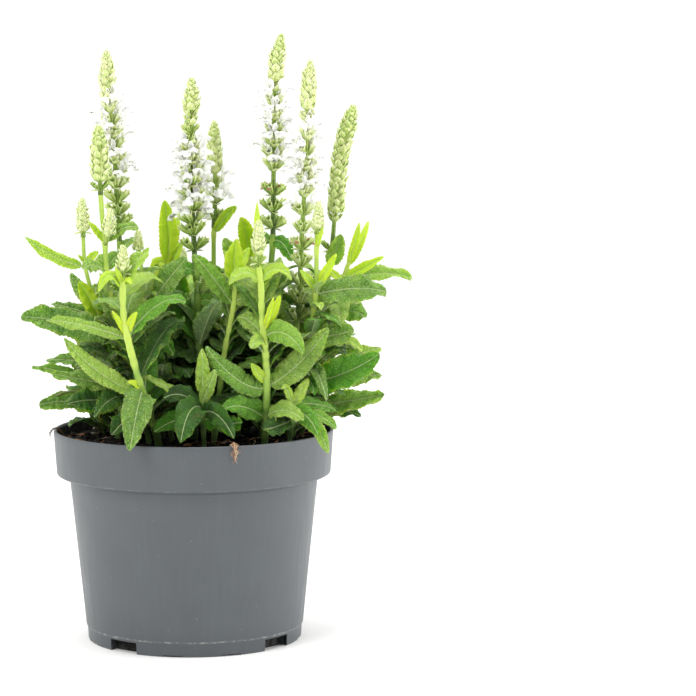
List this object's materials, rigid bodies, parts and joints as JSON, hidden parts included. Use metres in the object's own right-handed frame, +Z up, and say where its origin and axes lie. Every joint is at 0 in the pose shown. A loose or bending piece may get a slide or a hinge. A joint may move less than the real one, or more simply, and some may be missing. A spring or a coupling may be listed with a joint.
{
  "type": "potted salvia",
  "caption": "White-flowering meadow sage in a round grey nursery pot: upright leafy stems with slender flower spikes and bud heads over dark potting soil.",
  "frame": {"origin": "centre of the foot pad under the pot, on the surface that the pot stands on", "axes": "+Z up along the pot's axis, -Y towards the side that the picture shows, +X to that view's right"},
  "size_m": [0.2352, 0.1957, 0.3662],
  "materials": {
    "pot": "satin injection-moulded polypropylene",
    "soil": "moist peat potting mix, crumbly",
    "leafy_stem": "fresh leaf and stem tissue, wrinkled",
    "flower_head": "fresh bracts, calyces and petals"
  },
  "bodies": {
    "root": {"bud_back_left": "flower_head", "bud_back_middle": "flower_head", "bud_far_left": "flower_head", "bud_front_left": "flower_head", "bud_front_right": "flower_head", "bud_inner_left": "flower_head", "bud_right_front": "flower_head", "bud_spike_centre": "flower_head", "bud_spike_left": "flower_head", "bud_spike_right": "flower_head", "pot": "pot", "shoot_back_right": "leafy_stem", "shoot_bright": "leafy_stem", "shoot_centre": "leafy_stem", "shoot_left_back": "leafy_stem", "shoot_left_low": "leafy_stem", "shoot_right": "leafy_stem", "shoot_right_low": "leafy_stem", "shoot_rim_right": "leafy_stem", "shoot_spoon": "leafy_stem", "soil": "soil", "spike_centre": "flower_head", "spike_left": "flower_head", "spike_right": "flower_head", "spike_tallest": "flower_head", "stem_back_centre": "leafy_stem", "stem_back_far_left": "leafy_stem", "stem_back_far_right": "leafy_stem", "stem_back_left": "leafy_stem", "stem_back_middle": "leafy_stem", "stem_back_right": "leafy_stem", "stem_centre": "leafy_stem", "stem_far_left": "leafy_stem", "stem_front_left": "leafy_stem", "stem_front_right": "leafy_stem", "stem_inner_left": "leafy_stem", "stem_left_spike": "leafy_stem", "stem_right_front": "leafy_stem", "stem_right_spike": "leafy_stem", "stem_tall_left": "leafy_stem", "stem_tall_right": "leafy_stem", "stem_tallest": "leafy_stem"}
  },
  "joints": []
}
